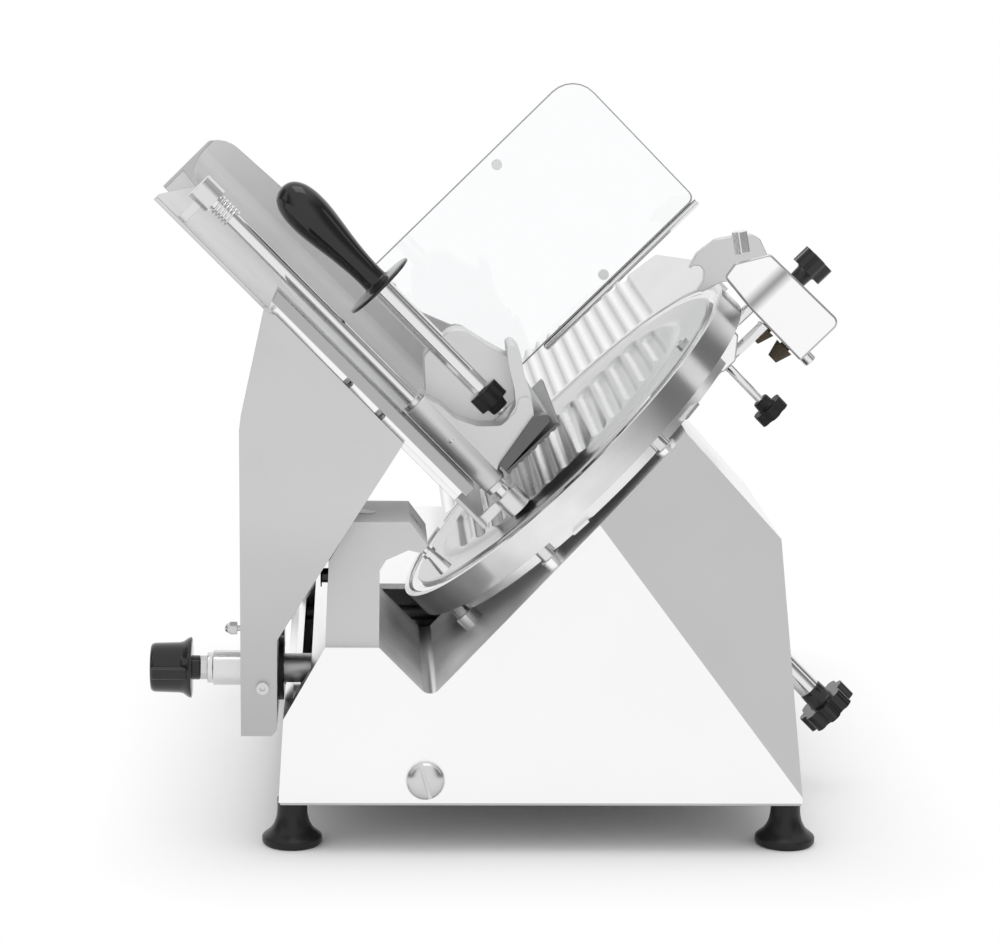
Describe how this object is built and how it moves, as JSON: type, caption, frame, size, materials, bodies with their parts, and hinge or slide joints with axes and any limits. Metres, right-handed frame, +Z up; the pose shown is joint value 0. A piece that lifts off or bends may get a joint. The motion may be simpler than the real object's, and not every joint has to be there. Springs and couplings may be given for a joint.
{
  "type": "gravity feed meat slicer",
  "caption": "Inclined food slicer with a tilted round blade, a sliding food table, a swinging pusher and a built-in blade sharpener.",
  "frame": {"origin": "centre of the overall box, on the floor under the feet", "axes": "+X from the operator's side to the slice side, +Y along the carriage travel away from the near end, +Z up"},
  "size_m": [0.5065, 0.6036, 0.5013],
  "materials": {
    "cast_aluminium": "satin",
    "arm_casting": "satin",
    "fluted_aluminium": "brushed",
    "table_aluminium": "satin",
    "blade_steel": "polished",
    "polished_steel": "polished",
    "turned_steel": "satin",
    "base_steel": "satin",
    "black_plastic": "gloss",
    "chrome_button": "polished",
    "rubber_foot": "matte",
    "clear_guard": "clear",
    "bush_bronze": "satin",
    "motor_paint": "satin",
    "spike_steel": "satin",
    "stone": "matte"
  },
  "bodies": {
    "base": {"base_casting": "cast_aluminium", "base_plate": "base_steel", "feet": "rubber_foot", "foot_screws": "turned_steel", "guide_rod": "polished_steel", "guide_rod_caps": "turned_steel", "roller_rail": "base_steel", "ring_guard": "cast_aluminium", "slice_deflector": "table_aluminium", "blade_cover": "fluted_aluminium", "cover_screws": "turned_steel", "cover_stop_pin": "polished_steel", "hub_housing": "fluted_aluminium", "hub_bearings": "polished_steel", "motor_body": "motor_paint", "motor_bracket": "base_steel", "motor_screws": "turned_steel", "drive_belt": "rubber_foot", "gauge_bush": "bush_bronze", "clamp_block": "cast_aluminium", "switch_body": "black_plastic", "cable_gland": "black_plastic"},
    "blade_unit": {"blade": "blade_steel", "blade_hub": "turned_steel", "blade_screws": "turned_steel", "driven_pulley": "base_steel"},
    "motor_unit": {"motor_pulley": "base_steel"},
    "tie_rod_unit": {"tie_rod": "polished_steel", "tie_rod_knob": "black_plastic"},
    "start": {"start_button": "chrome_button"},
    "stop": {"stop_button": "black_plastic"},
    "gauge": {"gauge_plate": "fluted_aluminium", "gauge_shaft": "polished_steel"},
    "thickness_control": {"thickness_dial": "black_plastic", "thickness_cam": "base_steel"},
    "carriage": {"carriage_arm": "arm_casting", "slider_block": "arm_casting", "slider_bushes": "bush_bronze", "arm_fasteners": "turned_steel", "arm_washer": "black_plastic", "food_table": "table_aluminium", "table_rail": "table_aluminium", "pusher_rod": "polished_steel", "rod_caps": "turned_steel", "rod_spring": "polished_steel", "hand_guard": "clear_guard", "guard_rail": "polished_steel", "lock_sleeve": "turned_steel"},
    "roller": {"rail_roller": "black_plastic"},
    "lock": {"lock_knob": "black_plastic"},
    "pusher_slider": {"pusher_bushes": "bush_bronze"},
    "pusher": {"pusher_casting": "arm_casting", "grip_plate": "spike_steel", "handle_rod": "polished_steel", "hand_grip": "black_plastic"},
    "handle_knob": {"pusher_knob": "black_plastic"},
    "sharpener": {"sharpener_body": "cast_aluminium", "grinding_stones": "stone"},
    "stone_knob": {"sharpener_knob": "black_plastic"},
    "clamp": {"clamp_knob": "black_plastic"}
  },
  "joints": [
    {"name": "blade_spin", "type": "hinge", "parent": "base", "child": "blade_unit", "pos_m": [0.03584, -0.14325, 0.258], "axis": [-0.7071, 0, 0.7071], "continuous": true},
    {"name": "motor_spin", "type": "hinge", "parent": "base", "child": "motor_unit", "pos_m": [-0.03487, -0.14325, 0.18729], "axis": [-0.7071, 0, 0.7071], "continuous": true},
    {"name": "tie_rod_turn", "type": "hinge", "parent": "base", "child": "tie_rod_unit", "pos_m": [0.17726, -0.14325, 0.11658], "axis": [-0.7071, 0, 0.7071], "range_deg": [0, 360]},
    {"name": "start_press", "type": "slide", "parent": "base", "child": "start", "axis": [0, 0, -1], "range_m": [0, 0.002], "stiffness_N_per_m": 400},
    {"name": "stop_press", "type": "slide", "parent": "base", "child": "stop", "axis": [1, 0, 0], "range_m": [0, 0.002], "stiffness_N_per_m": 400},
    {"name": "gauge_retract", "type": "slide", "parent": "base", "child": "gauge", "axis": [0.7071, 0, -0.7071], "range_m": [0, 0.015]},
    {"name": "thickness_turn", "type": "hinge", "parent": "base", "child": "thickness_control", "pos_m": [0.03584, 0.10175, 0.073], "axis": [-1, 0, 0], "range_deg": [0, 282]},
    {"name": "carriage_slide", "type": "slide", "parent": "base", "child": "carriage", "axis": [0, 1, 0], "range_m": [-0.03, 0.24]},
    {"name": "roller_turn", "type": "hinge", "parent": "carriage", "child": "roller", "pos_m": [-0.14416, -0.23825, 0.0683], "axis": [-1, 0, 0], "continuous": true},
    {"name": "lock_turn", "type": "hinge", "parent": "carriage", "child": "lock", "pos_m": [-0.22416, -0.23825, 0.114], "axis": [1, 0, 0], "range_deg": [0, 180]},
    {"name": "pusher_slide", "type": "slide", "parent": "carriage", "child": "pusher_slider", "axis": [-0.7071, 0, 0.7071], "range_m": [0, 0.165]},
    {"name": "pusher_swing", "type": "hinge", "parent": "pusher_slider", "child": "pusher", "pos_m": [-0.04512, -0.26125, 0.27603], "axis": [0.7071, 0, -0.7071], "range_deg": [0, 75]},
    {"name": "handle_knob_turn", "type": "hinge", "parent": "pusher", "child": "handle_knob", "pos_m": [-0.01931, -0.23925, 0.30184], "axis": [-0.7071, 0, 0.7071], "range_deg": [0, 360]},
    {"name": "sharpener_lift", "type": "slide", "parent": "base", "child": "sharpener", "axis": [0.7071, 0, 0.7071], "range_m": [0, 0.03]},
    {"name": "stone_press", "type": "slide", "parent": "sharpener", "child": "stone_knob", "axis": [-0.7071, 0, -0.7071], "range_m": [0, 0.003], "stiffness_N_per_m": 400},
    {"name": "clamp_turn", "type": "hinge", "parent": "base", "child": "clamp", "pos_m": [0.17726, -0.15225, 0.28628], "axis": [-0.7071, 0, 0.7071], "range_deg": [0, 360]}
  ],
  "couplings": [
    {"joint": "motor_spin", "follows": "blade_spin", "ratio": 1.8},
    {"joint": "roller_turn", "follows": "carriage_slide", "rad_per_m": 100},
    {"joint": "thickness_turn", "follows": "gauge_retract", "rad_per_m": 325}
  ]
}
